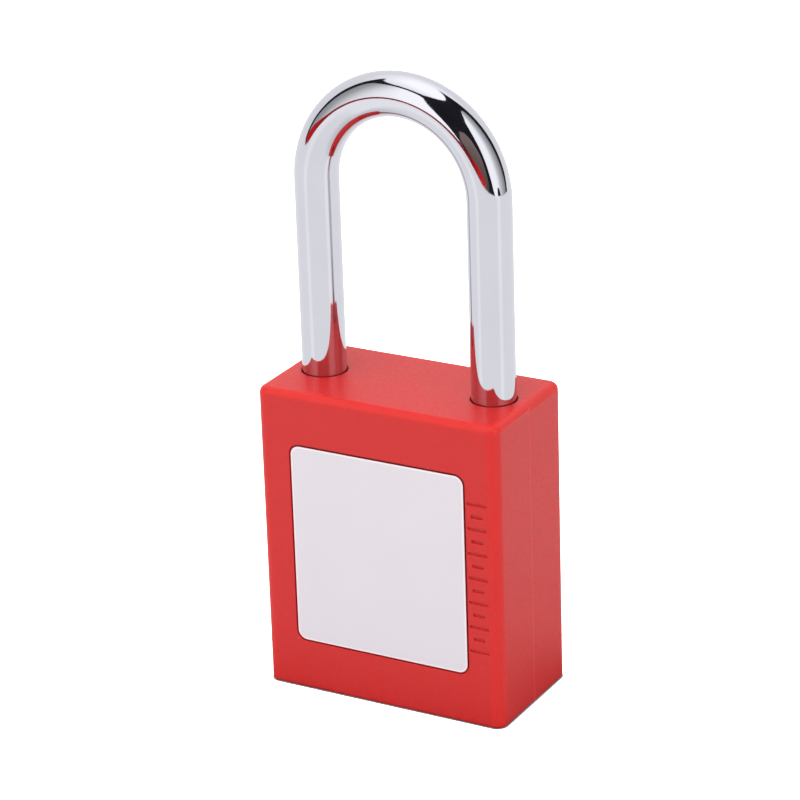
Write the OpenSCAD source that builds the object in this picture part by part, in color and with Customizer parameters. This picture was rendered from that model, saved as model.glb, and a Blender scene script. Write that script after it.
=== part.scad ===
// Keyed safety padlock: a nylon shell round a drilled aluminium block, with a
// ball-locked steel shackle and a six-pin cylinder. It is drawn closed, with the
// plug turned to its unlocked side, so that the balls clear the shackle.
// Millimetres. The base is z = 0, the label faces -Y, the plug turns about Z, and
// the shackle's long heel leg is on -X.

/* [Body shell] */
// Width of the body
body_w = 38; // [37:0.5:42]
// Depth of the body, front to back
body_d = 20; // [19:0.5:24]
// Height of the body
body_h = 45.6; // [45:0.1:53]
// Radius of the four upright edges
side_edge_r = 1.6; // [1.2:0.1:2]
// Radius round the top face
top_edge_r = 1.1; // [0.8:0.1:1.6]
// Radius round the bottom face
bottom_edge_r = 0.4; // [0.2:0.05:0.8]
// Thickness of the front and back walls
face_wall = 2.1; // [1.7:0.1:2.4]
// Thickness of the side walls beside the metal block
side_wall = 3.8; // [3:0.1:4.2]
// Thickness of the top wall
top_wall = 3; // [2:0.25:4]
// Thickness of the bottom cover
cover_t = 2; // [1.5:0.25:3]
// Width of the shell's rim round the bottom cover
rim_w = 1.6; // [1:0.1:2]
// Depth of the parting line that the mould leaves on both sides
parting_depth = 0.05; // [0.03:0.01:0.1]

/* [Label] */
// Width of the label
label_w = 27.4; // [20:0.2:29]
// Height of the label
label_h = 29.9; // [20:0.1:34]
// Height of the label's lower edge above the base
label_z = 7.7; // [6:0.1:10]
// Thickness of the label
label_t = 0.4; // [0.2:0.05:0.5]
// Radius of the label's corners
label_r = 1.4; // [0.5:0.1:3]
// Depth of the label's pocket
pocket_depth = 0.4; // [0.3:0.05:0.6]
// Gap between the label and the pocket's sides
label_gap = 0.25; // [0.05:0.05:0.3]

/* [Index marks] */
// Number of short grooves in the column beside the label
mark_count = 13; // [5:1:15]
// Distance between neighbouring marks
mark_pitch = 1.86; // [1.2:0.02:2]
// Length of the odd, long marks
mark_long = 3; // [2:0.1:3.2]
// Length of the even, short marks
mark_short = 1.8; // [1:0.1:2.5]
// Width of a mark's groove
mark_stroke = 0.45; // [0.3:0.05:0.6]
// Depth of a mark's groove
mark_depth = 0.3; // [0.1:0.05:0.5]

/* [Shackle] */
// Diameter of the shackle's bar
rod_d = 6.35; // [5.5:0.05:6.5]
// Distance between the legs' axes
leg_pitch = 27; // [26:0.25:28]
// Height of the opening above the body
clearance_h = 38.9; // [25:0.1:76]
// Length of the toe leg below the body's top
toe_depth = 13; // [12:0.25:14]
// Height that the unlocked shackle lifts
lift = 15; // [14.5:0.25:17]
// Gap round each leg in the shell's holes
hole_gap = 0.2; // [0.15:0.05:0.35]
// Running clearance round each leg in the metal block
leg_fit = 0.1; // [0.05:0.01:0.15]
// Depth of the flat and neck that the stop pin runs in
flat_depth = 1.1; // [0.8:0.05:1.3]
// Length of the heel leg's foot below its neck
foot_h = 2.25; // [1.5:0.25:4]
// Chamfer on the ends of the legs
leg_chamfer = 0.7; // [0.3:0.1:1]
// Diameter of the stop pin
stop_pin_d = 2; // [1.5:0.1:2.2]

/* [Ball latch] */
// Diameter of the locking balls
ball_d = 6; // [5:0.25:6]
// Depth of the balls' channel below the body's top
ball_drop = 8.5; // [8:0.1:8.8]
// Travel of each ball as the plug turns a quarter
ball_travel = 1.6; // [1.2:0.1:1.8]
// Gap between a withdrawn ball and its leg
ball_gap = 0.12; // [0.08:0.01:0.2]
// Height of the cam's lobes
lobe_h = 5.4; // [4:0.1:5.6]

/* [Cylinder] */
// Diameter of the plug
plug_d = 9; // [8.6:0.1:9.4]
// Height of the housing's visible face above the base
face_z = 0.6; // [0.4:0.1:1]
// Height of the housing's rear end above the base
housing_top = 26.5; // [26:0.25:29]
// Height of the first chamber above the base
chamber_z = 6.2; // [5:0.1:6.5]
// Distance between chambers
chamber_pitch = 3.3; // [3.1:0.05:3.5]
// Diameter of the pins
pin_d = 2.75; // [2.3:0.05:2.8]
// Length of the driver pins
driver_l = 3.6; // [3:0.1:4.2]
// Length of the shortest key pin
key_pin_min = 3.4; // [3:0.1:3.6]
// Step between neighbouring key pin lengths
key_pin_step = 0.3; // [0.2:0.05:0.35]
// Width of the block that holds the chambers
pin_block_w = 5.4; // [4.8:0.1:6]
// Thickness of the strip that closes the chambers
strip_t = 0.8; // [0.5:0.1:1]
// Width of the keyway
keyway_w = 1.5; // [1:0.1:2]
// Running clearance of plug, pins, balls and cam
slide_fit = 0.05; // [0.03:0.01:0.08]

/* [Springs] */
// Outer diameter of the pin springs
spring_d = 2.3; // [1.8:0.1:2.5]
// Diameter of the spring wire
wire_d = 0.32; // [0.2:0.02:0.4]
// Turns of each pin spring
spring_turns = 5; // [3:1:7]

/* [Hidden] */
PIN_COUNT = 6;
$fn = 64;
// Steps of each key pin above the shortest, from the bow end
KEY_CUTS = [2, 4, 1, 3, 0, 2];
// Overshoot of cuts past the face that they open
cut = 0.5;
// Gap between parts that are pushed together and stay put
seat_gap = 0.1;
// Gap round pins and screws that are pressed or screwed into the metal
press_gap = 0.02;
// Gap at the ends of parts that lie in closed bores
end_gap = 0.2;
// Overlap that keeps a cut's end from lying exactly on a face
sliver = 0.01;

// Shell, cavity, metal block and cover
// The top's radius stays below that of the upright edges that it runs into
top_r = min(top_edge_r, side_edge_r - sliver);
cavity_w = body_w - 2 * side_wall;
cavity_d = body_d - 2 * face_wall;
cavity_r = 1;
cavity_top = body_h - top_wall;
block_w = cavity_w - 2 * seat_gap;
block_d = cavity_d - 2 * seat_gap;
cover_w = body_w - 2 * rim_w;
cover_d = body_d - 2 * rim_w;
peg_d = 2;
peg_h = 4;
peg_room = 0.3;
peg_x = block_w / 2 - 2.6;
peg_y = block_d / 2 - 2.2;
opening_bevel = 0.8;
opening_gap = 0.15;
// Shift of the index marks from the middle of the strip beside the label
mark_shift = 0.05;

// Shackle legs
rod_r = rod_d / 2;
leg_x = leg_pitch / 2;
leg_inner = leg_x - rod_r;
arch_z = body_h + clearance_h + rod_r - leg_x;
toe_end = body_h - toe_depth;
leg_room = 0.6;
toe_floor = toe_end - leg_room;
ball_z = body_h - ball_drop;
stop_r = stop_pin_d / 2;
// Distance of the stop pin below the balls' channel
stop_drop = 4;
stop_z = ball_z - ball_d / 2 - stop_drop;
flat_x = leg_inner + flat_depth;
stop_x = flat_x - seat_gap - stop_r;
neck_z = stop_z - lift;
// Play of balls and stop pin in the shackle's notches and neck
notch_play = 0.15;
neck_half = stop_r + notch_play;
heel_end = neck_z - neck_half - foot_h;
heel_floor = heel_end - leg_room;

// Balls and cam
ball_r = ball_d / 2;
ball_x = leg_inner - ball_gap - ball_r;
ball_lock_x = ball_x + ball_travel;
notch_r = ball_r + notch_play;
cam_fit = 0.03;
quarter = 90;
// Turn past the quarter over which the cam keeps its slope, in degrees
cam_overrun = 8;
cam_step = 4;
cam_reach = ball_lock_x + seat_gap - ball_r;
lobe_z = ball_z - lobe_h / 2;
pivot_d = 4;
pivot_h = 1.6;
stem_inset = 0.6;
stem_r = ball_x - ball_r - stem_inset;
cam_flange_t = 1;
cam_headroom = 0.3;
cam_pocket_top = ball_z + lobe_h / 2 + cam_headroom;

// Cylinder
plug_r = plug_d / 2;
// Wall that the housing's bore leaves round the cam's widest turn
cam_margin = 0.35;
barrel_r = cam_reach + cam_margin;
flange_lip = 0.7;
flange_r = plug_r + flange_lip;
flange_t = 1.1;
pin_r = pin_d / 2;
chamber_r = pin_r + slide_fit;
last_chamber_z = chamber_z + (PIN_COUNT - 1) * chamber_pitch;
screw_d = 2.5;
screw_socket = 1.3;
screw_socket_h = 1.4;
screw_point = 0.5;
screw_point_in = 0.4;
screw_inset = 0.35;
screw_x = leg_inner + screw_d / 2 + screw_inset;
screw_seat = 1.8;
// Metal left beyond the screw and beyond the strip
block_edge = 0.3;
block_reach = screw_x + screw_d / 2 + block_edge;
strip_x = block_reach - strip_t - block_edge;
strip_w = 3.9;
strip_margin = 1.7;
clip_t = 0.7;
clip_w = 1.9;
clip_groove_depth = 1;
clip_groove_r = plug_r - clip_groove_depth;
clip_z = housing_top + seat_gap;
clip_land = 0.9;
plug_end = clip_z + clip_t + clip_land;
tongue_w = 5;
tongue_t = 1.8;
tongue_h = 3;
cam_base = plug_end + end_gap;
driver_x = plug_r + cam_fit;
driver_edge = 0.25;
spring_x = driver_x + driver_l + slide_fit;
spring_l = strip_x - slide_fit - spring_x;
key_pin_point = 0.6;
// Depth of the plug's chambers past its axis
chamber_reach = 1.4;
chamber_cone = 0.5;
// Keyway: wall below it, reach above the plug's axis, offset of its middle
// step, shift of the whole and length past the last chamber
keyway_wall = 0.6;
keyway_reach = 2.3;
keyway_offset = 0.4;
keyway_shift = 0.2;
keyway_past = 3.3;
keyway_end = last_chamber_z + keyway_past;

// Rounded rectangle, centred
module rounded_rect(w, d, r) {
    square([w - 2 * r, d], center = true);
    square([w, d - 2 * r], center = true);
    for (x = [-1, 1], y = [-1, 1])
        translate([x * (w / 2 - r), y * (d / 2 - r)]) circle(r);
}

// Half section of an edge post: a bar of width w with rounded outer corners
module edge_section(w, h, r_top, r_low) {
    translate([0, r_low]) square([w, h - r_top - r_low]);
    square([w - r_low, h / 2]);
    translate([0, h / 2]) square([w - r_top, h / 2]);
    translate([w - r_top, h - r_top]) intersection() {
        circle(r_top);
        square(r_top);
    }
    translate([w - r_low, r_low]) intersection() {
        circle(r_low);
        translate([0, -r_low]) square(r_low);
    }
}

// Block whose upright edges, top and bottom are all rounded
module rounded_block(w, d, h, r, r_top, r_low) {
    for (side = [0, 180]) {
        rotate([0, 0, side]) translate([0, d / 2 - r, 0]) rotate([90, 0, 90])
            linear_extrude(w - 2 * r, center = true) edge_section(r, h, r_top, r_low);
        rotate([0, 0, side]) translate([w / 2 - r, 0, 0]) rotate([90, 0, 0])
            linear_extrude(d - 2 * r, center = true) edge_section(r, h, r_top, r_low);
    }
    for (x = [0, 1], y = [0, 1])
        mirror([x, 0, 0]) mirror([0, y, 0]) translate([w / 2 - r, d / 2 - r, 0])
            rotate_extrude(angle = 90) edge_section(r, h, r_top, r_low);
    translate([0, 0, h / 2]) cube([w - 2 * r, d - 2 * r, h], center = true);
}

// Places its children, drawn flat, upright on the front face
module on_front() {
    translate([0, -body_d / 2, 0]) rotate([90, 0, 0]) children();
}

// Turns what is drawn with the plug locked to where it rests, unlocked
module unlocked() {
    rotate([0, 0, quarter]) children();
}

// Cylinder from z0 up to z1
module post(r, z0, z1) {
    translate([0, 0, z0]) cylinder(h = z1 - z0, r = r);
}

module body_shell() {
    mark_x = (body_w / 2 - side_edge_r + label_w / 2 + label_gap) / 2 + mark_shift;
    mark_z = label_z + label_h / 2 - (mark_count - 1) / 2 * mark_pitch;
    color("firebrick") difference() {
        rounded_block(body_w, body_d, body_h, side_edge_r, top_r, bottom_edge_r);
        linear_extrude(cavity_top) rounded_rect(cavity_w, cavity_d, cavity_r);
        translate([0, 0, -cut]) linear_extrude(cover_t + cut)
            rounded_rect(cover_w, cover_d, cavity_r);
        translate([-leg_x, 0, 0]) post(rod_r + hole_gap, heel_floor, body_h + cut);
        translate([leg_x, 0, 0]) post(rod_r + hole_gap, toe_floor, body_h + cut);
        on_front() translate([0, label_z + label_h / 2, -pocket_depth])
            linear_extrude(pocket_depth + cut) rounded_rect(
                label_w + 2 * label_gap, label_h + 2 * label_gap, label_r + label_gap);
        on_front() for (i = [0:mark_count - 1])
            translate([mark_x, mark_z + i * mark_pitch, 0])
                cube([i % 2 == 0 ? mark_long : mark_short, mark_stroke, 2 * mark_depth],
                    center = true);
        for (x = [-1, 1])
            translate([x * body_w / 2, 0, body_h / 2]) rotate([0, 0, 45])
                cube([sqrt(2) * parting_depth, sqrt(2) * parting_depth, body_h + 2 * cut],
                    center = true);
    }
}

module label() {
    color("gainsboro") on_front()
        translate([0, label_z + label_h / 2, -pocket_depth]) linear_extrude(label_t)
            rounded_rect(label_w, label_h, label_r);
}

module bottom_cover() {
    color("indianred") difference() {
        union() {
            linear_extrude(cover_t)
                rounded_rect(cover_w - 2 * seat_gap, cover_d - 2 * seat_gap, cavity_r);
            for (x = [-1, 1], y = [-1, 1])
                translate([x * peg_x, y * peg_y, 0]) post(peg_d / 2, cover_t / 2, cover_t + peg_h);
        }
        post(barrel_r + opening_gap, -cut, cover_t + cut);
        translate([0, 0, -sliver]) cylinder(h = opening_bevel,
            r1 = barrel_r + opening_gap + opening_bevel, r2 = barrel_r + opening_gap);
    }
}

// Outline of the housing across its axis, grown by a gap
module housing_outline(gap) {
    circle(barrel_r + gap);
    intersection() {
        circle(block_reach + gap);
        translate([0, -pin_block_w / 2 - gap]) square([block_reach + cut, pin_block_w + 2 * gap]);
    }
}

module inner_body() {
    color("silver") difference() {
        translate([0, 0, cover_t]) linear_extrude(cavity_top - cover_t)
            rounded_rect(block_w, block_d, cavity_r);
        translate([-leg_x, 0, 0]) post(rod_r + leg_fit, heel_floor, body_h);
        translate([leg_x, 0, 0]) post(rod_r + leg_fit, toe_floor, body_h);
        translate([0, 0, cover_t - cut]) linear_extrude(housing_top - cover_t + cut)
            housing_outline(seat_gap / 2);
        post(barrel_r + seat_gap / 2, housing_top - cut, cam_pocket_top);
        post(pivot_d / 2 + slide_fit, cam_pocket_top - cut, cam_pocket_top + pivot_h);
        translate([-leg_x, 0, ball_z]) rotate([0, 90, 0])
            cylinder(h = leg_x + block_w / 2 + cut, r = ball_r + slide_fit);
        translate([-stop_x, 0, stop_z]) rotate([90, 0, 0])
            cylinder(h = block_d + 2 * cut, r = stop_r + press_gap, center = true);
        translate([screw_x, 0, 0])
            post(screw_d / 2 + press_gap, housing_top - cut, toe_floor + cut);
        for (x = [-1, 1], y = [-1, 1])
            translate([x * peg_x, y * peg_y, 0])
                post(peg_d / 2 + slide_fit, cover_t - cut, cover_t + peg_h + peg_room);
    }
}

// Leg with a chamfered lower end, from z0 up to z1
module leg(z0, z1) {
    post(rod_r, z0 + leg_chamfer, z1);
    translate([0, 0, z0]) cylinder(h = leg_chamfer, r1 = rod_r - leg_chamfer, r2 = rod_r);
}

module shackle() {
    color("lightsteelblue") difference() {
        union() {
            translate([0, 0, arch_z]) rotate([90, 0, 0]) rotate_extrude(angle = 180)
                translate([leg_x, 0]) circle(rod_r);
            translate([-leg_x, 0, 0]) leg(heel_end, arch_z);
            translate([leg_x, 0, 0]) leg(toe_end, arch_z);
        }
        for (x = [-1, 1])
            translate([x * ball_lock_x, 0, ball_z]) rotate([90, 0, 0])
                cylinder(h = rod_d + 2 * cut, r = notch_r, center = true);
        // Flat along the heel leg, and the neck below it
        translate([-flat_x, -rod_d, neck_z]) cube([rod_d, 2 * rod_d, stop_z + neck_half - neck_z]);
        translate([-leg_x, 0, neck_z - neck_half]) difference() {
            cylinder(h = 2 * neck_half, r = rod_r + cut);
            translate([0, 0, -cut]) cylinder(h = 2 * neck_half + 2 * cut, r = rod_r - flat_depth);
        }
    }
}

module stop_pin() {
    color("darkgray") translate([-stop_x, 0, stop_z]) rotate([90, 0, 0])
        cylinder(h = block_d - 2 * end_gap, r = stop_r, center = true);
}

module cylinder_housing() {
    color("goldenrod") difference() {
        union() {
            post(barrel_r, face_z, housing_top);
            translate([0, 0, cover_t]) linear_extrude(housing_top - cover_t) housing_outline(0);
        }
        post(plug_r + cam_fit, face_z - cut, housing_top + cut);
        post(flange_r + slide_fit, face_z - cut, face_z + flange_t + slide_fit);
        for (i = [0:PIN_COUNT - 1])
            translate([0, 0, chamber_z + i * chamber_pitch]) rotate([0, 90, 0])
                cylinder(h = strip_x + cut, r = chamber_r);
        translate([strip_x, -strip_w / 2 - slide_fit, chamber_z - strip_margin - slide_fit])
            cube([strip_t + block_edge + cut, strip_w + 2 * slide_fit,
                last_chamber_z - chamber_z + 2 * (strip_margin + slide_fit)]);
        translate([screw_x, 0, 0])
            post(screw_d / 2 + press_gap, housing_top - screw_seat, housing_top + cut);
    }
}

module chamber_cover() {
    color("darkgoldenrod") translate([strip_x, -strip_w / 2, chamber_z - strip_margin])
        cube([strip_t, strip_w, last_chamber_z - chamber_z + 2 * strip_margin]);
}

module retaining_screw() {
    low = housing_top - screw_seat + seat_gap;
    high = toe_floor - seat_gap;
    color("dimgray") difference() {
        translate([screw_x, 0, 0]) union() {
            post(screw_d / 2, low + screw_point, high);
            translate([0, 0, low])
                cylinder(h = screw_point, r1 = screw_d / 2 - screw_point_in, r2 = screw_d / 2);
        }
        translate([screw_x, 0, high - screw_socket_h])
            cylinder(h = screw_socket_h + cut, r = screw_socket / sqrt(3), $fn = 6);
    }
}

// Keyway across the plug's axis: three steps that ward the key
module keyway_outline() {
    step = (plug_r - keyway_wall + keyway_reach) / 3;
    for (i = [0:2]) {
        side = i == 1 ? 0 : keyway_offset;
        translate([-plug_r + keyway_wall + i * step, -keyway_w / 2 + side - keyway_shift])
            square([step + sliver, keyway_w]);
    }
}

module plug() {
    color("gold") unlocked() difference() {
        union() {
            post(flange_r, face_z, face_z + flange_t);
            post(plug_r, face_z, plug_end);
            translate([0, 0, plug_end + tongue_h / 2])
                cube([tongue_t, tongue_w, tongue_h], center = true);
        }
        translate([0, 0, face_z - cut]) linear_extrude(keyway_end - face_z + cut) keyway_outline();
        for (i = [0:PIN_COUNT - 1])
            translate([-chamber_reach, 0, chamber_z + i * chamber_pitch]) rotate([0, 90, 0]) {
                cylinder(h = chamber_cone, r1 = chamber_r - chamber_cone, r2 = chamber_r);
                translate([0, 0, chamber_cone]) cylinder(h = plug_r + chamber_reach, r = chamber_r);
            }
        difference() {
            post(plug_r + cut, clip_z, clip_z + clip_t + seat_gap);
            post(clip_groove_r, clip_z - cut, clip_z + clip_t + cut);
        }
    }
}

module plug_clip() {
    mouth = 1.4 * plug_r;
    color("slategray") unlocked() translate([0, 0, clip_z + slide_fit])
        linear_extrude(clip_t - slide_fit) difference() {
            circle(clip_groove_r + clip_w);
            circle(clip_groove_r + cam_fit);
            polygon([[0, 0], [-2 * plug_r, -mouth], [-2 * plug_r, mouth]]);
        }
}

// Distance of a ball's centre from the plug's axis, where the cam has turned a
// degrees from rest. It grows evenly over the quarter turn and falls back behind it.
function ball_path(a) =
    let (back = (a - quarter - cam_overrun) / (quarter - 2 * cam_overrun))
    ball_x + ball_travel * a / quarter
        - (back > 0 ? ball_travel * (1 - cos(180 * min(back, 1))) : 0);

// Point of the cam's edge: one ball radius inside the ball's path, square to it
function cam_point(a) =
    let (here = ball_path(a), slope = (ball_path(a + 0.01) - ball_path(a - 0.01)) * 9000 / PI,
        span = norm([here, slope]), reach = ball_r + cam_fit)
    [(here - reach * here / span) * cos(a) - reach * slope / span * sin(a),
        (here - reach * here / span) * sin(a) + reach * slope / span * cos(a)];

module cam_outline() {
    half = [for (a = [0:cam_step:180 - cam_step]) cam_point(a)];
    polygon(concat(half, -half));
}

module cam() {
    color("peru") difference() {
        union() {
            post(barrel_r - slide_fit, cam_base, cam_base + cam_flange_t);
            post(stem_r, cam_base, lobe_z + cam_flange_t);
            translate([0, 0, lobe_z]) linear_extrude(lobe_h) cam_outline();
            post(pivot_d / 2, ball_z, cam_pocket_top + pivot_h - end_gap);
        }
        unlocked() translate([0, 0, plug_end + (tongue_h + end_gap) / 2])
            cube([tongue_t + 2 * slide_fit, tongue_w + 2 * slide_fit, tongue_h + end_gap],
                center = true);
    }
}

// Ball of one leg, side -1 for the heel and 1 for the toe
module ball(side) {
    color("lightgray") translate([side * ball_x, 0, ball_z]) sphere(ball_r);
}

module key_pin(i) {
    length = key_pin_min + KEY_CUTS[i - 1] * key_pin_step;
    reach = plug_r - slide_fit;
    color("khaki") unlocked() translate([0, 0, chamber_z + (i - 1) * chamber_pitch])
        intersection() {
            sphere(reach);
            union() {
                translate([reach - length + key_pin_point, 0, 0]) rotate([0, 90, 0])
                    cylinder(h = length, r = pin_r);
                translate([reach - length, 0, 0]) rotate([0, 90, 0])
                    cylinder(h = key_pin_point, r1 = pin_r - key_pin_point, r2 = pin_r);
            }
        }
}

module driver_pin(i) {
    color("lightslategray") translate([driver_x, 0, chamber_z + (i - 1) * chamber_pitch])
        rotate([0, 90, 0]) {
            cylinder(h = driver_edge, r1 = pin_r - driver_edge, r2 = pin_r);
            translate([0, 0, driver_edge]) cylinder(h = driver_l - 2 * driver_edge, r = pin_r);
            translate([0, 0, driver_l - driver_edge])
                cylinder(h = driver_edge, r1 = pin_r, r2 = pin_r - driver_edge);
        }
}

// Coil spring along +Z from the origin, swept as rings of points round a helix
module coil(length, turns) {
    ring = 6;
    per_turn = 14;
    steps = turns * per_turn;
    mid_r = (spring_d - wire_d) / 2;
    function on_wire(s, k) =
        let (turn = 360 * s / per_turn, out = mid_r + wire_d / 2 * cos(360 * k / ring))
        [out * cos(turn), out * sin(turn),
            wire_d / 2 + (length - wire_d) * s / steps + wire_d / 2 * sin(360 * k / ring)];
    points = [for (s = [0:steps], k = [0:ring - 1]) on_wire(s, k)];
    sides = [for (s = [0:steps - 1], k = [0:ring - 1])
        [s * ring + k, s * ring + (k + 1) % ring, (s + 1) * ring + (k + 1) % ring,
            (s + 1) * ring + k]];
    ends = [[for (k = [ring - 1:-1:0]) k], [for (k = [0:ring - 1]) steps * ring + k]];
    polyhedron(points, concat(sides, ends));
}

module spring(i) {
    color("gainsboro") translate([spring_x, 0, chamber_z + (i - 1) * chamber_pitch])
        rotate([0, 90, 0]) coil(spring_l, spring_turns);
}

body_shell();
label();
bottom_cover();
inner_body();
shackle();
stop_pin();
cylinder_housing();
chamber_cover();
retaining_screw();
plug();
plug_clip();
cam();
ball(-1);  // ball_heel
ball(1);  // ball_toe
for (i = [1:PIN_COUNT]) {
    key_pin(i);
    driver_pin(i);
    spring(i);
}
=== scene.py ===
import math

import bmesh
import bpy
from mathutils import Matrix, Vector


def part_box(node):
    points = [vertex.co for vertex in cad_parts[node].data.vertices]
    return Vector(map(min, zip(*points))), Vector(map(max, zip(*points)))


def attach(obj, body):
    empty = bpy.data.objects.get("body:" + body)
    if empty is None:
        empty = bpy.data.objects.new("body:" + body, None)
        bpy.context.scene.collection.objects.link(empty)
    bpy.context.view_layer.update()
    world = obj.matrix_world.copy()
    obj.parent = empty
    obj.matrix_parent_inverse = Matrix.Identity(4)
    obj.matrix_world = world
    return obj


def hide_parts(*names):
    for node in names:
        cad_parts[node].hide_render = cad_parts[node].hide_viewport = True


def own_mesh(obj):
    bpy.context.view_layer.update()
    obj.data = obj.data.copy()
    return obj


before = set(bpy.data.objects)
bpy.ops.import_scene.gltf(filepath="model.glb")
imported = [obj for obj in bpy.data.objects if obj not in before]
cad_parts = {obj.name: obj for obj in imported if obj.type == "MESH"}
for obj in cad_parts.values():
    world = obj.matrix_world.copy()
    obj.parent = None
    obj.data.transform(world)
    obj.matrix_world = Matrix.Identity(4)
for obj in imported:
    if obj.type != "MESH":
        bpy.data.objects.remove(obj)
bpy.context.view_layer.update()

# Sizes in metres. Those of the body, label and shackle come from the frame, to 0.01 mm.
MM = 0.001


def measured(value):
    return round(value / MM, 2) * MM


shell_low, shell_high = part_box("body_shell")
label_low, label_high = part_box("label")
rod_low, rod_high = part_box("shackle")
toe_ball_low, toe_ball_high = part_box("ball_toe")
stop_low, stop_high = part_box("stop_pin")

BODY_W = measured(shell_high.x - shell_low.x)
BODY_D = measured(shell_high.y - shell_low.y)
BODY_H = measured(shell_high.z)
FRONT_Y = -BODY_D / 2
SIDE_EDGE_R = 1.6 * MM
TOP_EDGE_R = 1.1 * MM
BOTTOM_EDGE_R = 0.4 * MM
FACE_WALL = 2.1 * MM
SIDE_WALL = 3.8 * MM
TOP_WALL = 3 * MM
COVER_T = 2 * MM
RIM_W = 1.6 * MM
INNER_CORNER_R = 1 * MM
PARTING_DEPTH = 0.05 * MM
PARTING_HALF = 0.16 * MM

LABEL_W = measured(label_high.x - label_low.x)
LABEL_H = measured(label_high.z - label_low.z)
LABEL_Z = measured((label_high.z + label_low.z) / 2)
LABEL_R = 1.4 * MM
LABEL_GAP = 0.25 * MM
LABEL_EDGE_R = 0.1 * MM
POCKET_DEPTH = measured(label_high.y - shell_low.y)
POCKET_MOUTH_R = 0.08 * MM
POCKET_FLOOR_R = 0.06 * MM

MARK_COUNT = 13
MARK_PITCH = 1.86 * MM
MARK_LONG = 3 * MM
MARK_SHORT = 1.8 * MM
MARK_STROKE = 0.45 * MM
MARK_DEPTH = 0.3 * MM
MARK_MOUTH_R = 0.07 * MM
MARK_FLOOR_R = 0.12 * MM
MARK_SHIFT = 0.05 * MM

ROD_R = measured(rod_high.y - rod_low.y) / 2
LEG_X = measured(rod_high.x - rod_low.x) / 2 - ROD_R
ARCH_Z = measured(rod_high.z) - LEG_X - ROD_R
HEEL_END = measured(rod_low.z)
TOE_END = BODY_H - 13 * MM
LEG_CHAMFER = 0.7 * MM
LEG_INNER = LEG_X - ROD_R
FLAT_DEPTH = 1.1 * MM
HOLE_R = ROD_R + 0.13 * MM
HOLE_MOUTH_R = 0.2 * MM
LEG_ROOM = 0.6 * MM
LIFT = 15 * MM

BALL_R = measured(toe_ball_high.z - toe_ball_low.z) / 2
BALL_Z = measured((toe_ball_high.z + toe_ball_low.z) / 2)
BALL_TRAVEL = 1.6 * MM
BALL_LOCK_X = measured((toe_ball_high.x + toe_ball_low.x) / 2) + BALL_TRAVEL
NOTCH_PLAY = 0.15 * MM
STOP_R = measured(stop_high.x - stop_low.x) / 2
STOP_Z = measured((stop_high.z + stop_low.z) / 2)

SPRING_D = 2.3 * MM
WIRE_D = 0.32 * MM
SPRING_TURNS = 5
PIN_COUNT = 6

# How far a cutter reaches past the face that it opens
CUT = 0.5 * MM


# Mesh building


def place(name, form):
    """Object that holds the bmesh form, which is freed."""
    bmesh.ops.recalc_face_normals(form, faces=form.faces)
    mesh = bpy.data.meshes.new(name)
    form.to_mesh(mesh)
    form.free()
    piece = bpy.data.objects.new(name, mesh)
    bpy.context.scene.collection.objects.link(piece)
    return piece


def loft(name, rings, closed=False):
    """Skin over rings of points, with flat ends, or closed on itself."""
    form = bmesh.new()
    loops = [[form.verts.new(point) for point in ring] for ring in rings]
    pairs = list(zip(loops, loops[1:]))
    if closed:
        pairs.append((loops[-1], loops[0]))
    for low, high in pairs:
        for here in range(len(low)):
            there = (here + 1) % len(low)
            form.faces.new((low[here], low[there], high[there], high[here]))
    if not closed:
        form.faces.new(loops[0][::-1])
        form.faces.new(loops[-1])
    return place(name, form)


def rounded_rectangle(width, height, radius, steps=12):
    """Points of a rounded rectangle round the origin, counterclockwise."""
    points = []
    for quarter, (side, end) in enumerate(((1, 1), (-1, 1), (-1, -1), (1, -1))):
        for step in range(steps + 1):
            angle = math.radians(90 * (quarter + step / steps))
            points.append((side * (width / 2 - radius) + radius * math.cos(angle),
                           end * (height / 2 - radius) + radius * math.sin(angle)))
    return points


def quarter_arc(radius, steps):
    """Pairs of across and along distances on a quarter arc, each from 0 to radius."""
    angles = [math.radians(90 * step / steps) for step in range(steps + 1)]
    return [(radius * (1 - math.cos(a)), radius * math.sin(a)) for a in angles]


def revolve(name, profile, matrix=Matrix(), steps=96, closed=False):
    """Solid of a profile of (radius, height) pairs round the Z axis, then placed by matrix."""
    turns = [math.radians(360 * step / steps) for step in range(steps)]
    rings = [[matrix @ Vector((radius * math.cos(turn), radius * math.sin(turn), height))
              for turn in turns] for radius, height in profile]
    return loft(name, rings, closed)


def settle(piece):
    """Applies the piece's modifiers to its mesh."""
    depsgraph = bpy.context.evaluated_depsgraph_get()
    mesh = bpy.data.meshes.new_from_object(piece.evaluated_get(depsgraph))
    piece.modifiers.clear()
    piece.data = mesh


def carve(piece, cutters):
    """Cuts the cutters, which don't meet each other, out of the piece."""
    for cutter in cutters:
        step = piece.modifiers.new("carve", "BOOLEAN")
        step.operation = "DIFFERENCE"
        step.solver = "EXACT"
        step.object = cutter
        settle(piece)
        bpy.data.objects.remove(cutter)


def smooth(piece, angle=32):
    """Shades the piece smooth up to an angle, with its flat faces kept flat."""
    piece.data.shade_smooth()
    piece.data.set_sharp_from_angle(angle=math.radians(angle))
    weights = piece.modifiers.new("flat faces", "WEIGHTED_NORMAL")
    weights.keep_sharp = True
    weights.weight = 100


def soften(piece, width, angle=32, segments=3):
    """Rounds the piece's edges by a bevel of that width."""
    bevel = piece.modifiers.new("edges", "BEVEL")
    bevel.width = width
    bevel.segments = segments
    bevel.limit_method = "ANGLE"
    bevel.angle_limit = math.radians(angle)
    bevel.use_clamp_overlap = True
    settle(piece)


def dress(piece, body, material, slot, *nodes):
    """Gives the piece its material and body, and hides the nodes that it stands for. The slot is
    not used.
    """
    piece.data.materials.clear()
    piece.data.materials.append(material)
    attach(piece, body)
    if nodes:
        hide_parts(*nodes)


# Materials


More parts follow.
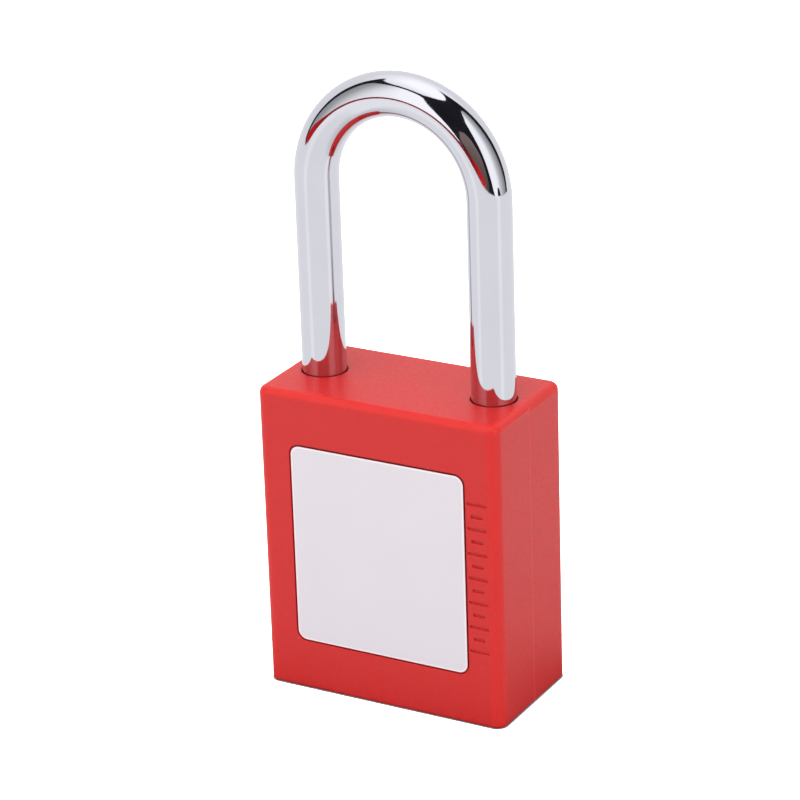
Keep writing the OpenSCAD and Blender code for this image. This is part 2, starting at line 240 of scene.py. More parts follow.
def wire(tree, kind, inputs, **settings):
    """New node of the tree; inputs maps sockets to values or to outputs that are linked."""
    made = tree.nodes.new("ShaderNode" + kind)
    for setting, value in settings.items():
        setattr(made, setting, value)
    for socket, value in inputs.items():
        if isinstance(value, bpy.types.NodeSocket):
            tree.links.new(value, made.inputs[socket])
        else:
            made.inputs[socket].default_value = value
    return made


def calculated(tree, operation, *values):
    return wire(tree, "Math", dict(enumerate(values)), operation=operation).outputs[0]


def calculated_vector(tree, operation, *values):
    return wire(tree, "VectorMath", dict(enumerate(values)), operation=operation).outputs[0]


def mixed(tree, factor, first, second, blend="MIX"):
    """Colour between two, through the node's factor and colour sockets, 0, 6 and 7."""
    made = wire(tree, "Mix", {0: factor, 6: first, 7: second}, data_type="RGBA",
                blend_type=blend)
    return made.outputs[2]


def mapped(tree, value, start, end, low, high, kind="LINEAR"):
    """value from start to end, mapped to low to high and kept between them."""
    made = wire(tree, "MapRange", {"Value": value, "From Min": start, "From Max": end,
                                   "To Min": low, "To Max": high}, interpolation_type=kind)
    return made.outputs[0]


def beside(tree, spot, half, radius):
    """Distance of the spot from a rounded box round the origin, less than 0 inside it."""
    outside = calculated_vector(tree, "SUBTRACT", calculated_vector(tree, "ABSOLUTE", spot), half)
    outside = calculated_vector(tree, "MAXIMUM", outside, (0, 0, 0))
    length = wire(tree, "VectorMath", {0: outside}, operation="LENGTH").outputs["Value"]
    return calculated(tree, "SUBTRACT", length, radius)


class Surface:
    """Principled material with short calls for the nodes behind its sockets."""

    def __init__(self, name, **sockets):
        self.material = bpy.data.materials.new(name)
        self.material.use_nodes = True
        self.tree = self.material.node_tree
        self.shader = self.tree.nodes["Principled BSDF"]
        for socket, value in sockets.items():
            self.shader.inputs[socket.replace("_", " ")].default_value = value
        self.spot = self.node("TexCoord", {}).outputs["Object"]

    def node(self, kind, inputs, **settings):
        return wire(self.tree, kind, inputs, **settings)

    def noise(self, size, detail=2, contrast=0.5, stretch=(1, 1, 1)):
        """Noise from 0 to 1 with features of that size in metres, longer along stretch."""
        spots = self.node("Mapping", {"Vector": self.spot,
                                      "Scale": [1 / (size * s) for s in stretch]})
        return self.node("TexNoise", {"Vector": spots.outputs[0], "Scale": 1, "Detail": detail,
                                      "Roughness": contrast}).outputs[0]

    def graded(self, value, low, high, start=0.3, end=0.7):
        return mapped(self.tree, value, start, end, low, high)

    def ramp(self, value, *stops):
        """Colour ramp over value, of (place, colour) stops."""
        made = self.node("ValToRGB", {"Fac": value})
        points = made.color_ramp.elements
        while len(points) < len(stops):
            points.new(0.5)
        for point, (position, colour) in zip(points, stops):
            point.position = position
            point.color = (*colour, 1)
        return made.outputs[0]

    def mix(self, factor, first, colour, blend="MIX"):
        """Tint first mixed with a plain colour."""
        return mixed(self.tree, factor, first, (*colour, 1), blend)

    def math(self, operation, *values):
        return calculated(self.tree, operation, *values)

    def bump(self, *layers):
        """Bumps one over another, each of a height and its depth in metres."""
        normal = None
        for height, depth in layers:
            inputs = {"Height": height, "Distance": depth, "Strength": 1}
            if normal:
                inputs["Normal"] = normal
            normal = self.node("Bump", inputs).outputs[0]
        self.link(Normal=normal)

    def link(self, **sockets):
        for socket, value in sockets.items():
            self.tree.links.new(value, self.shader.inputs[socket.replace("_", " ")])


def shade(colour, level):
    return tuple(part * level for part in colour)


def shell_painted_highlights(s, tint):
    """Tint with painted highlights: the shell's rounded edges made brighter and more saturated,
    and its parting lines paler.
    """
    spot = calculated_vector(s.tree, "ABSOLUTE", s.spot)
    flat = (BODY_W / 2 - SIDE_EDGE_R, BODY_D / 2 - SIDE_EDGE_R, BODY_H - TOP_EDGE_R)
    past_flat = calculated_vector(s.tree, "SUBTRACT", spot, flat)
    x, y, z = s.node("SeparateXYZ", {0: past_flat}).outputs
    rounded = s.math("MAXIMUM", s.math("MINIMUM", x, y),
                     s.math("MINIMUM", s.math("MAXIMUM", x, y), z))
    # Painted highlight: the rounded edges are tinted brighter and more saturated red.
    tint = s.mix(s.graded(rounded, 0, 1, -0.3 * MM, 0.4 * MM), tint, EDGE_HIGHLIGHT_TINT, "MULTIPLY")
    # Painted highlight: a paler line along the parting line on each side.
    on_side = s.graded(x, 0, 1, SIDE_EDGE_R - 0.3 * MM, SIDE_EDGE_R - 0.2 * MM)
    off_middle = s.node("SeparateXYZ", {0: spot}).outputs["Y"]
    line = s.graded(off_middle, 1, 0, PARTING_HALF / 2, PARTING_HALF * 1.2)
    return s.mix(s.math("MULTIPLY", on_side, line), tint, PARTING_HIGHLIGHT_RED)


def moulded_nylon(name, colour):
    """Satin nylon: fine speckled grain, faint flow mottling and a few light specks, with painted
    highlights on the shell's rounded edges and parting lines.
    """
    s = Surface(name, IOR=1.5, Specular_IOR_Level=0.46, Subsurface_Weight=0.3,
                Subsurface_Scale=1.1 * MM)
    s.shader.inputs["Subsurface Radius"].default_value = (1, 0.2, 0.15)
    grain = s.noise(0.35 * MM, 2, 0.6)
    flow = s.noise(7 * MM, 3, 0.5)
    tint = s.ramp(grain, (0.32, shade(colour, 0.935)), (0.5, colour), (0.7, shade(colour, 1.065)))
    tint = s.mix(s.graded(flow, 0, 0.25), tint, shade(colour, 0.93))
    cells = s.node("TexVoronoi", {"Vector": s.spot, "Scale": 1 / (1.7 * MM)})
    dots = s.graded(cells.outputs["Distance"], 1, 0, 0.035, 0.06)
    chance = s.node("SeparateColor", {"Color": cells.outputs["Color"]}).outputs[0]
    specks = s.math("MULTIPLY", dots, s.graded(chance, 0, 0.6, 0.86, 0.88))
    tint = s.mix(specks, tint, tuple(part + (1 - part) * 0.22 for part in colour))
    s.link(Base_Color=shell_painted_highlights(s, tint), Roughness=s.graded(grain, 0.34, 0.52))
    s.bump((flow, 0.02 * MM), (s.noise(0.5 * MM, 2, 0.5), 0.008 * MM), (grain, 0.006 * MM))
    return s.material


def label_film(name, colour):
    """Smooth plate with a faint mottled gloss, a painted highlight as a whiter rim inside its
    edge, and painted shade as dark red on its sides.
    """
    s = Surface(name, IOR=1.45)
    cloud = s.noise(9 * MM, 3, 0.5)
    fibre = s.noise(0.3 * MM, 3, 0.6)
    tint = s.ramp(cloud, (0.3, shade(colour, 0.985)), (0.7, colour))
    centred = calculated_vector(s.tree, "SUBTRACT", s.spot, (0, 0, LABEL_Z))
    half = (LABEL_W / 2 - LABEL_R, BODY_D, LABEL_H / 2 - LABEL_R)
    past_edge = beside(s.tree, centred, half, LABEL_R)
    # Painted highlight: a whiter rim just inside the label's edge.
    tint = s.mix(s.graded(past_edge, 0, 1, -0.32 * MM, -0.22 * MM), tint, RIM_HIGHLIGHT_WHITE)
    # Painted shade: the label's sides, in the gap round it, are tinted dark red.
    depth = s.math("SUBTRACT", s.node("SeparateXYZ", {0: s.spot}).outputs["Y"], label_low.y)
    tint = s.mix(s.graded(depth, 0, 1, 0.02 * MM, 0.06 * MM), tint, GAP_SHADE_RED)
    s.link(Base_Color=tint, Roughness=s.graded(fibre, 0.30, 0.38))
    s.bump((cloud, 0.01 * MM), (fibre, 0.0008 * MM))
    return s.material


def chrome(name, colour):
    """Bright chrome with slight haze and fine polishing lines along the legs."""
    s = Surface(name, Metallic=1, IOR=2.5)
    haze = s.noise(5 * MM, 3, 0.6)
    lines = s.noise(0.12 * MM, 2, 0.6, (1, 1, 40))
    tint = s.ramp(haze, (0.3, shade(colour, 0.97)), (0.7, colour))
    s.link(Base_Color=tint, Roughness=s.graded(haze, 0.035, 0.075))
    s.bump((s.noise(1.6 * MM, 2, 0.5), 0.003 * MM), (lines, 0.00025 * MM))
    return s.material


def machined_metal(name, colour, roughness, stretch, depth=0.0012 * MM, stain=0.9):
    """Metal with tool marks drawn out along stretch and a faint uneven tarnish."""
    s = Surface(name, Metallic=1)
    marks = s.noise(0.1 * MM, 3, 0.6, stretch)
    tarnish = s.noise(2.5 * MM, 4, 0.6)
    tint = s.ramp(tarnish, (0.3, shade(colour, stain)), (0.65, colour))
    tint = s.mix(s.graded(marks, 0, 0.25), tint, shade(colour, 0.8))
    uneven = mixed(s.tree, 0.5, tarnish, marks)
    s.link(Base_Color=tint, Roughness=s.graded(uneven, roughness * 0.8, roughness * 1.25))
    s.bump((tarnish, 0.004 * MM), (marks, depth))
    return s.material


NYLON_RED = (0.575, 0.009, 0.008)
PARTING_HIGHLIGHT_RED = (0.66, 0.035, 0.035)
EDGE_HIGHLIGHT_TINT = (1.09, 0.7, 0.4)
COVER_RED = (0.55, 0.009, 0.008)
LABEL_WHITE = (0.66, 0.62, 0.665)
RIM_HIGHLIGHT_WHITE = (0.80, 0.725, 0.755)
GAP_SHADE_RED = (0.2, 0.018, 0.022)
CHROME_WHITE = (0.64, 0.645, 0.70)
ALUMINIUM_GREY = (0.72, 0.73, 0.75)
BRASS_YELLOW = (0.78, 0.60, 0.29)
PIN_YELLOW = (0.80, 0.64, 0.34)
STEEL_GREY = (0.60, 0.61, 0.63)
WIRE_GREY = (0.66, 0.66, 0.67)
CLIP_GREY = (0.30, 0.30, 0.32)
SCREW_BLACK = (0.13, 0.13, 0.14)

ROUND_MARKS = (25, 25, 1)
LONG_MARKS = (1, 1, 30)

red_nylon = moulded_nylon("red_nylon", NYLON_RED)
cover_nylon = moulded_nylon("red_nylon_cover", COVER_RED)
film = label_film("label_film", LABEL_WHITE)
chromed = chrome("chromed_steel", CHROME_WHITE)
aluminium = machined_metal("aluminium", ALUMINIUM_GREY, 0.34, LONG_MARKS)
housing_brass = machined_metal("housing_brass", shade(BRASS_YELLOW, 0.95), 0.30, ROUND_MARKS)
plug_brass = machined_metal("brass", BRASS_YELLOW, 0.26, ROUND_MARKS)
cam_brass = machined_metal("cam_brass", shade(BRASS_YELLOW, 0.9), 0.36, ROUND_MARKS)
strip_brass = machined_metal("brass_strip", shade(BRASS_YELLOW, 1.02), 0.28, LONG_MARKS)
pin_brass = machined_metal("pin_brass", PIN_YELLOW, 0.25, (1, 25, 25))
pin_steel = machined_metal("pin_steel", STEEL_GREY, 0.25, (1, 25, 25))
ground_steel = machined_metal("hardened_steel", STEEL_GREY, 0.12, (8, 8, 8), 0.0003 * MM)
wire_steel = machined_metal("spring_wire", WIRE_GREY, 0.22, (12, 1, 1))
clip_steel = machined_metal("spring_steel", CLIP_GREY, 0.42, ROUND_MARKS, 0.002 * MM, 0.8)
black_steel = machined_metal("black_steel", SCREW_BLACK, 0.40, ROUND_MARKS, 0.002 * MM, 0.7)


# Body shell


def block_rings(width, depth, low, high, corner_r, low_r, high_r):
    """Rings of an upright block with rounded corners, top and bottom."""
    bottom = [(across, low + low_r - along) for across, along in quarter_arc(low_r, 6)]
    top = [(across, high - high_r + along) for across, along in quarter_arc(high_r, 10)]
    return [[(x, y, z) for x, y in rounded_rectangle(width - 2 * inset, depth - 2 * inset,
                                                     corner_r - inset, 16)]
            for inset, z in bottom[::-1] + top]


def prism(width, depth, radius, low, high):
    """Upright cutter of a rounded rectangle."""
    outline = rounded_rectangle(width, depth, radius)
    return loft("cutter", [[(x, y, z) for x, y in outline] for z in (low, high)])


def leg_hole(side, floor_z):
    """Cutter of a leg's hole, whose mouth is rounded over."""
    mouth = [(HOLE_R + HOLE_MOUTH_R - along, BODY_H - across)
             for across, along in quarter_arc(HOLE_MOUTH_R, 6)]
    lip = [(HOLE_R + HOLE_MOUTH_R, BODY_H + CUT), (HOLE_R + HOLE_MOUTH_R, BODY_H + CUT / 100)]
    profile = lip + mouth[1:] + [(HOLE_R, floor_z)]
    return revolve("cutter", profile, Matrix.Translation((side * LEG_X, 0, 0)), 128)


def sunk(centre, width, height, radius, depth, mouth_r, floor_r, steps):
    """Cutter sunk into the front face, with its mouth rounded over and its floor hollowed."""
    mouth = [(mouth_r - along, across) for across, along in quarter_arc(mouth_r, steps)]
    hollow = [(-across, depth - floor_r + along) for across, along in quarter_arc(floor_r, steps)]
    profile = [(mouth_r, -CUT), (mouth_r, -CUT / 100)] + mouth[1:] + hollow
    return loft("cutter", [
        [(centre[0] + x, FRONT_Y + sink, centre[1] + z)
         for x, z in rounded_rectangle(width + 2 * grow, height + 2 * grow, radius + grow)]
        for grow, sink in profile])


def body_shell():
    shell = loft("body_shell_dress", block_rings(
        BODY_W, BODY_D, 0, BODY_H, SIDE_EDGE_R, BOTTOM_EDGE_R, TOP_EDGE_R))
    stop_neck = STOP_Z - LIFT - STOP_R - NOTCH_PLAY
    heel_floor = min(stop_neck, HEEL_END) - LEG_ROOM
    inner_w = BODY_W - 2 * SIDE_WALL
    inner_d = BODY_D - 2 * FACE_WALL
    carve(shell, [
        prism(inner_w, inner_d, INNER_CORNER_R, -CUT, BODY_H - TOP_WALL),
        prism(BODY_W - 2 * RIM_W, BODY_D - 2 * RIM_W, INNER_CORNER_R, -CUT, COVER_T),
        leg_hole(-1, heel_floor), leg_hole(1, TOE_END - LEG_ROOM),
        sunk((0, LABEL_Z), LABEL_W + 2 * LABEL_GAP, LABEL_H + 2 * LABEL_GAP,
             LABEL_R + LABEL_GAP, POCKET_DEPTH, POCKET_MOUTH_R, POCKET_FLOOR_R, 5)])
    mark_x = (BODY_W / 2 - SIDE_EDGE_R + LABEL_W / 2 + LABEL_GAP) / 2 + MARK_SHIFT
    for index in range(MARK_COUNT):
        rise = (index - (MARK_COUNT - 1) / 2) * MARK_PITCH
        length = MARK_SHORT if index % 2 else MARK_LONG
        carve(shell, [sunk((mark_x, LABEL_Z + rise), length, MARK_STROKE, MARK_STROKE / 2.5,
                           MARK_DEPTH, MARK_MOUTH_R, MARK_FLOOR_R, 4)])
    for side in (-1, 1):
        line = [(side * BODY_W / 2, -PARTING_HALF), (side * (BODY_W / 2 - PARTING_DEPTH), 0),
                (side * BODY_W / 2, PARTING_HALF), (side * (BODY_W / 2 + CUT), 0)]
        carve(shell, [loft("cutter", [[(x, y, z) for x, y in line]
                                      for z in (-CUT, BODY_H + CUT)])])
    smooth(shell)
    dress(shell, "lock_body", red_nylon, "red_nylon", "body_shell")


# Label


def label():
    edge = quarter_arc(LABEL_EDGE_R, 6)
    rings = [(0, label_high.y)] + [(across, label_low.y + LABEL_EDGE_R - along)
                                   for across, along in edge]
    plate = loft("label_dress", [
        [(x, y, LABEL_Z + z) for x, z in rounded_rectangle(
            LABEL_W - 2 * inset, LABEL_H - 2 * inset, LABEL_R - inset)]
        for inset, y in rings])
    smooth(plate)
    dress(plate, "lock_body", film, "label_film", "label")


# Shackle


def bar_ring(turn, drop, radius, steps=96):
    """Ring of the bar at an angle of the arch, or dropped down a leg from its end."""
    out = Vector((math.cos(turn), 0, math.sin(turn)))
    centre = Vector((0, 0, ARCH_Z - drop)) + out * LEG_X
    turns = [math.radians(360 * step / steps) for step in range(steps)]
    return [centre + radius * (math.cos(a) * out + math.sin(a) * Vector((0, 1, 0)))
            for a in turns]


def shackle():
    arch_steps = 120
    toe_drop = ARCH_Z - TOE_END
    heel_drop = ARCH_Z - HEEL_END
    rings = [bar_ring(0, toe_drop, ROD_R - LEG_CHAMFER),
             bar_ring(0, toe_drop - LEG_CHAMFER, ROD_R)]
    rings += [bar_ring(math.pi * step / arch_steps, 0, ROD_R) for step in range(arch_steps + 1)]
    rings += [bar_ring(math.pi, heel_drop - LEG_CHAMFER, ROD_R),
              bar_ring(math.pi, heel_drop, ROD_R - LEG_CHAMFER)]
    bar = loft("shackle_dress", rings)
    flat_x = LEG_INNER + FLAT_DEPTH
    neck_z = STOP_Z - LIFT
    neck_half = STOP_R + NOTCH_PLAY
    across = Matrix.Rotation(math.radians(90), 4, "X")
    for side in (-1, 1):
        carve(bar, [revolve("cutter", [(BALL_R + NOTCH_PLAY, -2 * ROD_R),
                                       (BALL_R + NOTCH_PLAY, 2 * ROD_R)],
                            Matrix.Translation((side * BALL_LOCK_X, 0, BALL_Z)) @ across)])
    flat = [(-flat_x, -2 * ROD_R), (LEG_INNER - flat_x, -2 * ROD_R),
            (LEG_INNER - flat_x, 2 * ROD_R), (-flat_x, 2 * ROD_R)]
    carve(bar, [loft("cutter", [[(x, y, z) for x, y in flat]
                                for z in (neck_z, STOP_Z + neck_half)])])
    neck = [(ROD_R - FLAT_DEPTH, -neck_half), (2 * ROD_R, -neck_half),
            (2 * ROD_R, neck_half), (ROD_R - FLAT_DEPTH, neck_half)]
    carve(bar, [revolve("cutter", neck, Matrix.Translation((-LEG_X, 0, neck_z)), closed=True)])
    soften(bar, 0.12 * MM, 32, 2)
    smooth(bar)
    dress(bar, "shackle", chromed, "chromed_steel", "shackle")


# Metal and nylon pieces inside, and those that show underneath


def rounded_copy(node, body, material, slot, edge):
    """Copy of a CAD node, welded and with its edges rounded, that stands for it."""
    form = bmesh.new()
    form.from_mesh(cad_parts[node].data)
    bmesh.ops.remove_doubles(form, verts=form.verts, dist=0.001 * MM)
    bmesh.ops.dissolve_limit(form, angle_limit=math.radians(1), verts=form.verts,
                             edges=form.edges)
    copy = place(node + "_dress", form)
    soften(copy, edge)
    smooth(copy)
    dress(copy, body, material, slot, node)


def spring(index, low, high):
    """Wound wire of a pin's spring, at the length of its CAD node. In the lock it shortens as its
    driver pin is pushed back.
    """
    wire_sides = 12
    ring_count = SPRING_TURNS * 28
    wire_r = WIRE_D / 2
    coil_r = (SPRING_D - WIRE_D) / 2
    centre_z = measured((low.z + high.z) / 2)
    rings = []
    for step in range(ring_count + 1):
        turn = math.radians(360 * SPRING_TURNS * step / ring_count)
        out = Vector((0, math.sin(turn), -math.cos(turn)))
        along = low.x + wire_r + (high.x - low.x - WIRE_D) * step / ring_count
        centre = Vector((along, 0, centre_z)) + out * coil_r
        turns = [math.radians(360 * side / wire_sides) for side in range(wire_sides)]
        rings.append([centre + wire_r * (math.cos(a) * out + math.sin(a) * Vector((1, 0, 0)))
                      for a in turns])
    coil = loft(f"spring_{index}_dress", rings)
    smooth(coil, 50)
    dress(coil, "lock_body", wire_steel, "spring_wire", f"spring_{index}")
    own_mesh(coil)


def ball(node, centre_x):
    """Ground ball of the latch."""
    form = bmesh.new()
    bmesh.ops.create_icosphere(form, subdivisions=5, radius=BALL_R)
    bmesh.ops.translate(form, verts=form.verts, vec=(centre_x, 0, BALL_Z))
    sphere = place(node + "_dress", form)
    sphere.data.shade_smooth()
    dress(sphere, node, ground_steel, "hardened_steel", node)


def inner_pieces():
    rounded_copy("bottom_cover", "lock_body", cover_nylon, "red_nylon_cover", 0.15 * MM)
    rounded_copy("inner_body", "lock_body", aluminium, "aluminium", 0.1 * MM)
    rounded_copy("cylinder_housing", "lock_body", housing_brass, "housing_brass", 0.1 * MM)
    rounded_copy("chamber_cover", "lock_body", strip_brass, "brass_strip", 0.08 * MM)
    rounded_copy("stop_pin", "lock_body", ground_steel, "hardened_steel", 0.12 * MM)
    rounded_copy("retaining_screw", "lock_body", black_steel, "black_steel", 0.05 * MM)
    rounded_copy("plug", "plug", plug_brass, "brass", 0.07 * MM)
    rounded_copy("plug_clip", "plug", clip_steel, "spring_steel", 0.05 * MM)
    rounded_copy("cam", "plug", cam_brass, "cam_brass", 0.1 * MM)
    for index in range(1, PIN_COUNT + 1):
        key_pin = f"key_pin_{index}"
        driver = f"driver_pin_{index}"
        rounded_copy(key_pin, key_pin, pin_brass, "pin_brass", 0.08 * MM)
        rounded_copy(driver, driver, pin_steel, "pin_steel", 0.06 * MM)
        spring(index, *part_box(f"spring_{index}"))
    ball("ball_toe", BALL_LOCK_X - BALL_TRAVEL)
    ball("ball_heel", BALL_TRAVEL - BALL_LOCK_X)


# Camera, at the photograph's angle. Its frame is 800 by 800 pixels.

IMAGE_PX = 800
SENSOR = 36
FOCAL_PX = 3477.95
CAMERA_AZIMUTH = math.radians(29.711)
CAMERA_ELEVATION = math.radians(21.866)
CAMERA_ROLL = math.radians(-1.916)
CAMERA_DISTANCE = 486.776 * MM
AIM_Z = 43.867 * MM
AIM_RIGHT = -1.208 * MM
AIM_UP = -0.753 * MM


def camera():
    back = Vector((math.sin(CAMERA_AZIMUTH) * math.cos(CAMERA_ELEVATION),
                   -math.cos(CAMERA_AZIMUTH) * math.cos(CAMERA_ELEVATION),
                   math.sin(CAMERA_ELEVATION)))
    level = Vector((math.cos(CAMERA_AZIMUTH), math.sin(CAMERA_AZIMUTH), 0))
    upright = back.cross(level)
    right = math.cos(CAMERA_ROLL) * level + math.sin(CAMERA_ROLL) * upright
    up = back.cross(right)
    data = bpy.data.cameras.new("camera")
    data.sensor_width = SENSOR
    data.lens = FOCAL_PX / IMAGE_PX * SENSOR
    data.clip_start = 10 * MM
    made = bpy.data.objects.new("camera", data)
    aim = Vector((0, 0, AIM_Z)) + AIM_RIGHT * right + AIM_UP * up
    turn = Matrix((right, up, back)).transposed().to_4x4()
    made.matrix_world = Matrix.Translation(aim + CAMERA_DISTANCE * back) @ turn
    bpy.context.scene.collection.objects.link(made)
    bpy.context.scene.camera = made


# Floor, lights and surroundings

FLOOR_SIZE = 3
# Colour of the floor for the light that it throws back, and to the camera, where white is 1.
# Each is darker at the contact with the body, as painted contact shadow.
FLOOR_PALE = 0.75
CONTACT_SHADE_PALE = 0.15
FLOOR_SEEN = 2.2
CONTACT_SHADE_SEEN = 0.45
# Bearing of the axis that the floor's gloss is lit round, to the right of the front
STREAK_AXIS = math.radians(21)


def empty_material(name):
    """New material without nodes."""
    material = bpy.data.materials.new(name)
    material.use_nodes = True
    material.node_tree.nodes.clear()
    return material


def floor_glow(tree, spot, away):
    """Glow of the floor in gloss. It fades towards the body, as if in its soft shadow, and has
    two brighter streaks, which the legs mirror, to either side of the axis."""
    glow = calculated(tree, "ADD", mapped(tree, away, 0, 18 * MM, 0.22, 0.86, "SMOOTHSTEP"),
                      mapped(tree, away, 15 * MM, 60 * MM, 0, 0.24, "SMOOTHSTEP"))
    x, y, z = wire(tree, "SeparateXYZ", {0: spot}).outputs
    bearing = calculated(tree, "ARCTAN2", x, calculated(tree, "MULTIPLY", y, -1))
    off_axis = calculated(tree, "ABSOLUTE", calculated(tree, "SUBTRACT", bearing, STREAK_AXIS))
    streaks = calculated(
        tree, "MULTIPLY",
        mapped(tree, off_axis, math.radians(40), math.radians(52), 0.94, 1.06, "SMOOTHSTEP"),
        mapped(tree, off_axis, math.radians(56), math.radians(68), 1, 0.89, "SMOOTHSTEP"))
    return calculated(tree, "MULTIPLY", glow, streaks)


def floor():
    """Pale floor. The camera sees it overexposed, so that only the dark line of contact stays;
    that line, and the floor's darker colour near the body, are painted contact shadow.
    It is clear under the body and from below, so that the underside can be seen."""
    form = bmesh.new()
    bmesh.ops.create_grid(form, x_segments=1, y_segments=1, size=FLOOR_SIZE / 2)
    plane = place("floor", form)
    material = empty_material("pale_floor")
    tree = material.node_tree
    surface = wire(tree, "NewGeometry", {}).outputs
    rays = wire(tree, "LightPath", {}).outputs
    footprint = (BODY_W / 2 - SIDE_EDGE_R, BODY_D / 2 - SIDE_EDGE_R, 0)
    away = beside(tree, surface["Position"], footprint, SIDE_EDGE_R)
    # Painted contact shadow: the floor's colour darkens within a millimetre of the body.
    pale = mapped(tree, away, 0.1 * MM, 1 * MM, CONTACT_SHADE_PALE, FLOOR_PALE, "SMOOTHSTEP")
    seen = mapped(tree, away, 0, 0.22 * MM, CONTACT_SHADE_SEEN, FLOOR_SEEN, "SMOOTHSTEP")
    lit = wire(tree, "BsdfDiffuse", {"Color": mixed(tree, rays["Is Camera Ray"], pale, seen)})
    shine = wire(tree, "Emission", {"Strength": floor_glow(tree, surface["Position"], away)})
    opaque = wire(tree, "MixShader", {0: rays["Is Glossy Ray"], 1: lit.outputs[0],
                                      2: shine.outputs[0]})
    clear = calculated(tree, "MAXIMUM", surface["Backfacing"],
                       calculated(tree, "LESS_THAN", away, -0.8 * MM))
    whole = wire(tree, "MixShader", {0: clear, 1: opaque.outputs[0],
                                     2: wire(tree, "BsdfTransparent", {}).outputs[0]})
    wire(tree, "OutputMaterial", {"Surface": whole.outputs[0]})
    plane.data.materials.append(material)


def surroundings():
    """White light from all round, as in a light tent."""
    world = bpy.data.worlds.new("surroundings")
    bpy.context.scene.world = world
    world.use_nodes = True
    world.node_tree.nodes["Background"].inputs["Color"].default_value = (1, 1, 1, 1)


def lamp(name, place_at, size, power):
    """Soft square lamp that points at the top of the body and doesn't show in gloss."""
    data = bpy.data.lights.new(name, "AREA")
    data.shape = "SQUARE"
    data.size = size
    data.energy = power
    made = bpy.data.objects.new(name, data)
    turn = (Vector(place_at) - Vector((0, 0, BODY_H))).to_track_quat("Z", "Y")
    made.matrix_world = Matrix.Translation(place_at) @ turn.to_matrix().to_4x4()
    made.visible_camera = False
    made.visible_glossy = False
    bpy.context.scene.collection.objects.link(made)


def lights():
    lamp("key", (0.15, -0.26, 0.33), 0.25, 0.23)
    lamp("overhead", (0, -0.14, 0.45), 0.3, 0.80)


def facing(azimuth, elevation):
    """Direction at an azimuth, 0 in front and 90 on the right, and elevation in degrees."""
    turn = math.radians(azimuth)
    rise = math.radians(elevation)
    return Vector((math.sin(turn) * math.cos(rise), -math.cos(turn) * math.cos(rise),
                   math.sin(rise)))


def card(name, distance, columns, colour=(1, 1, 1)):
    """Card round the arch that only gloss sees. Each column is an azimuth and pairs of
    elevation and glow, between which the card is bent and shaded evenly."""
    steps = 6
    form = bmesh.new()
    glow = form.verts.layers.float.new("glow")
    lines = []
    for azimuth, *points in columns:
        line = []
        for low, high in zip(points, points[1:]):
            for step in range(steps):
                line.append([a + (b - a) * step / steps for a, b in zip(low, high)])
        line.append(points[-1])
        lines.append([])
        for elevation, level in line:
            corner = form.verts.new(Vector((0, 0, ARCH_Z)) + distance * facing(azimuth, elevation))
            corner[glow] = level
            lines[-1].append(corner)
    for here, there in zip(lines, lines[1:]):
        for row in range(len(here) - 1):
            form.faces.new((here[row], there[row], there[row + 1], here[row + 1]))
    panel = place(name, form)
    for sight in ("camera", "diffuse", "shadow", "transmission", "volume_scatter"):
        setattr(panel, "visible_" + sight, False)
    material = empty_material(name)
    tree = material.node_tree
    level = wire(tree, "Attribute", {}, attribute_name="glow").outputs["Fac"]
    light = wire(tree, "Emission", {"Color": (*colour, 1), "Strength": level})
    wire(tree, "OutputMaterial", {"Surface": light.outputs[0]})
    panel.data.materials.append(material)


def even_card(name, distance, outline, colour=(1, 1, 1)):
    """Card whose outline has the azimuth, lowest and highest elevation and glow of columns."""
    card(name, distance, [(azimuth, (low, glow), (high, glow))
                          for azimuth, low, high, glow in outline], colour)


# Elevations where the cards of the mirrored room end, just above the body, in degrees
WALL_FOOT = -9.4
LEFT_SILL = -9
RIGHT_SILL = -9.3
SKIRTING_FOOT = -9.6
WALL_GLOW = 0.015


def ceiling():
    card("ceiling", 0.50, [(azimuth, (40, 1), (60, 1.25), (75, 1.5), (90, 1.5))
                           for azimuth in range(-180, 181, 20)])


def dark_wall():
    """Wall round the front and the right side, whose ends rise to slanted edges."""
    left_end = ((-95, 57, 58), (-88, 50, 58.5), (-84, 35, 58), (-81, 20, 57), (-77, 5, 56.5),
                (-70, -4, 56), (-60, -8, 55))
    tops = ((-45, 54), (-30, 54), (-15, 54), (-5, 55), (0, 59), (10, 63), (25, 68), (40, 71),
            (60, 73), (75, 74), (90, 74.5), (105, 74.5), (120, 74), (128, 73.5))
    right_end = ((134, 0, 73), (138, 20, 72), (141, 45, 72), (146, 58, 71), (153, 63, 70),
                 (168, 66.5, 67))
    middle = [(azimuth, WALL_FOOT, top) for azimuth, top in tops]
    even_card("dark_wall", 0.47, [(*column, WALL_GLOW)
                                  for column in (*left_end, *middle, *right_end)],
              (1, 0.95, 1.25))


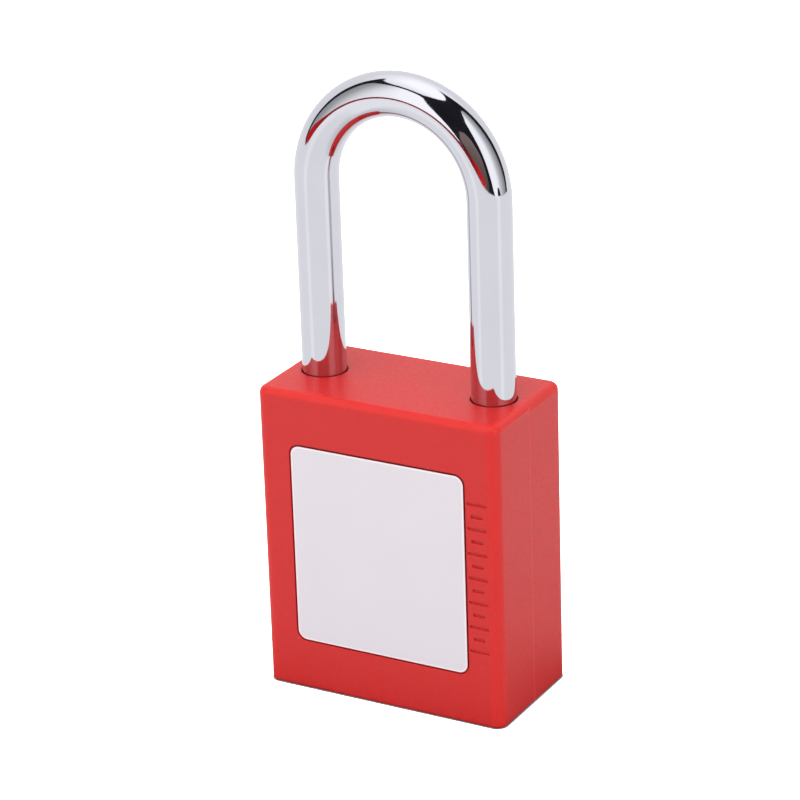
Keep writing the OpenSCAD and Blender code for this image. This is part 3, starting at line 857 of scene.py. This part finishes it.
def cupboard():
    outline = ((-2, 0, 3), (4, -6, 10), (12, WALL_FOOT, 19), (24, WALL_FOOT, 26),
               (34, WALL_FOOT, 25), (40, -4, 16))
    card("brown_cupboard", 0.46, [(azimuth, (low, 0.1), (high, 0.28))
                                  for azimuth, low, high in outline], (1, 0.76, 0.68))


def windows():
    even_card("left_window", 0.445, (
        (-70, 5, 42, 0.35), (-66, -2, 46, 0.4), (-55, LEFT_SILL, 47.5, 0.5),
        (-45, LEFT_SILL, 48, 0.75), (-35, LEFT_SILL, 48, 1.1), (-25, LEFT_SILL, 48, 1.4),
        (-12, LEFT_SILL, 46, 1.45), (-8, -3, 43, 1.45)))
    even_card("right_window", 0.445, (
        (52, 4, 32, 1.2), (56, -6, 42, 1.3), (60, RIGHT_SILL, 48, 1.35),
        (73, RIGHT_SILL, 54, 1.35), (76, -3, 55, 1.35), (84, -3, 58, 1.2),
        (88, RIGHT_SILL, 58.5, 1), (95, RIGHT_SILL, 60, 0.75), (108, RIGHT_SILL, 59.5, 0.5),
        (117, -9, 57, 0.35), (122, -4, 51, 0.25)))


def skirting():
    """Red board along the foot of the wall, higher at both ends."""
    even_card("red_skirting", 0.43, (
        (-66, -4, -2, 0.8), (-60, -7, 0, 0.8), (-50, SKIRTING_FOOT, -1.5, 0.75),
        (-44, SKIRTING_FOOT, -3.5, 0.6), (-40, SKIRTING_FOOT, -3.5, 0.45),
        (-30, SKIRTING_FOOT, -3, 0.4), (-20, SKIRTING_FOOT, -3, 0.4),
        (-8, SKIRTING_FOOT, -3, 0.4), (0, SKIRTING_FOOT, -3, 0.5),
        (6, SKIRTING_FOOT, -1, 0.75), (14, SKIRTING_FOOT, 0, 0.85), (22, -8, -2, 0.85),
        (28, -7, -5, 0.85)), (0.8, 0.03, 0.035))


def mirrored_room():
    """What the bright bar mirrors. Only gloss sees it."""
    ceiling()
    dark_wall()
    cupboard()
    windows()
    skirting()


camera()
floor()
surroundings()
mirrored_room()
lights()
body_shell()
label()
shackle()
inner_pieces()

scene = bpy.context.scene
scene.view_settings.view_transform = "Standard"
